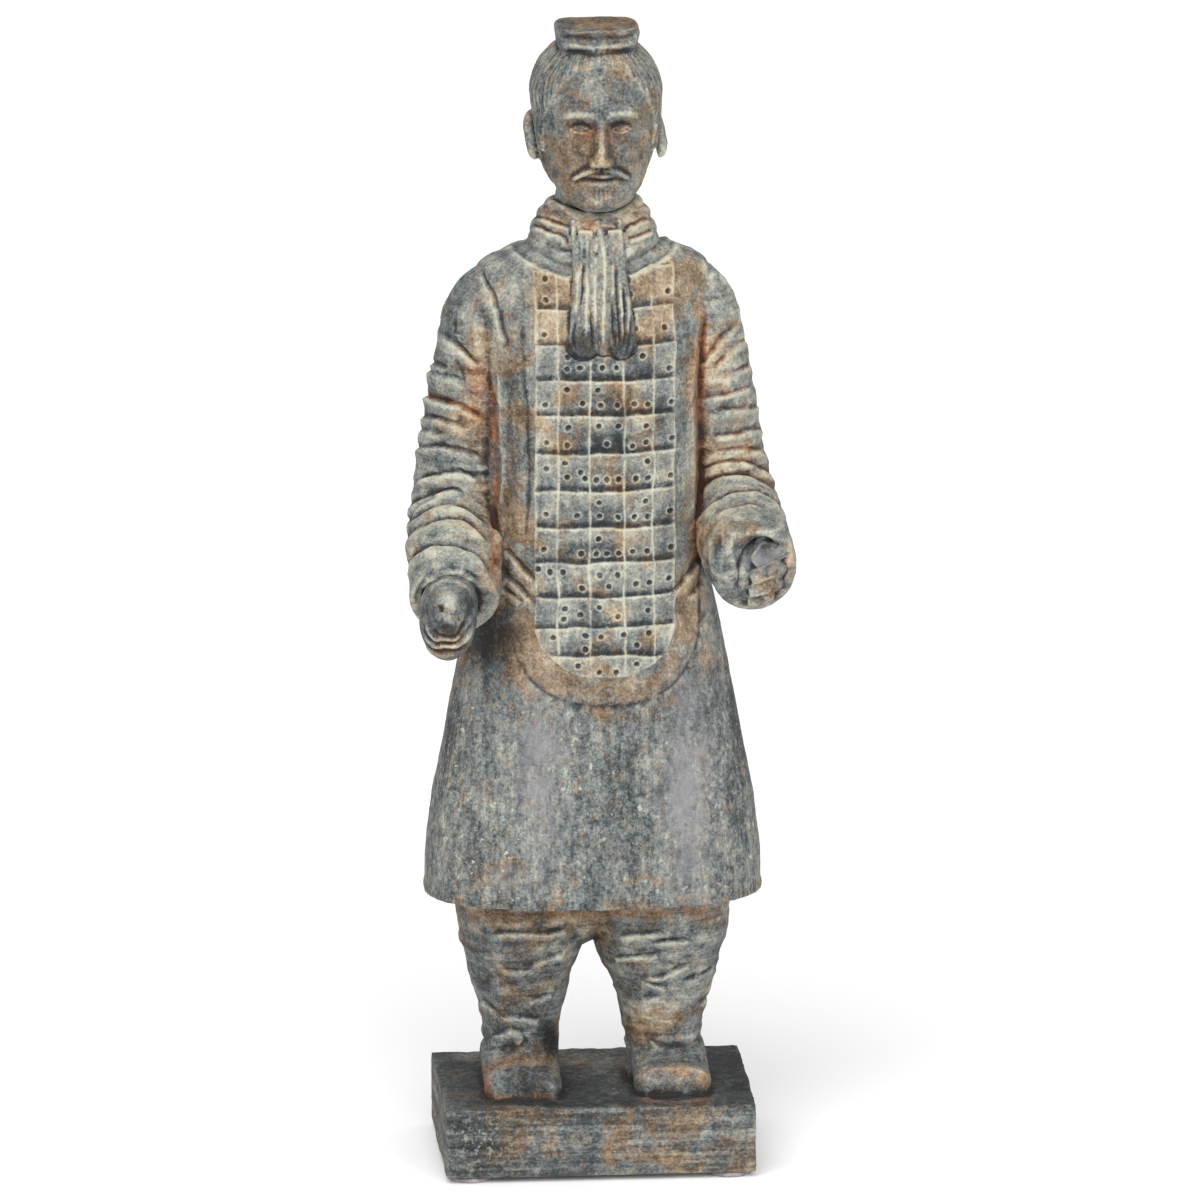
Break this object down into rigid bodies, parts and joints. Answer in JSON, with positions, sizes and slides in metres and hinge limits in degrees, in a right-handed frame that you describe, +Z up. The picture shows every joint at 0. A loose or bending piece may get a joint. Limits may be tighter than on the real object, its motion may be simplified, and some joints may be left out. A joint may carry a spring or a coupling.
{
  "type": "terracotta warrior statue",
  "caption": "Standing armoured warrior in grey patinated clay, with a flat hair bun, plate armour, closed fists and a plain robe, cast with a low rectangular plinth on round pads.",
  "frame": {"origin": "on the floor, under the middle of the statue's bounding box", "axes": "+X towards the figure's left hand, -Y the way the figure faces, +Z up"},
  "size_m": [0.198, 0.141, 0.6002],
  "materials": {
    "patinated_clay": "matte",
    "pad": "matte"
  },
  "bodies": {
    "root": {"warrior_statue": "patinated_clay", "pad_front_left": "pad", "pad_front_right": "pad", "pad_back_left": "pad", "pad_back_right": "pad"}
  },
  "joints": []
}
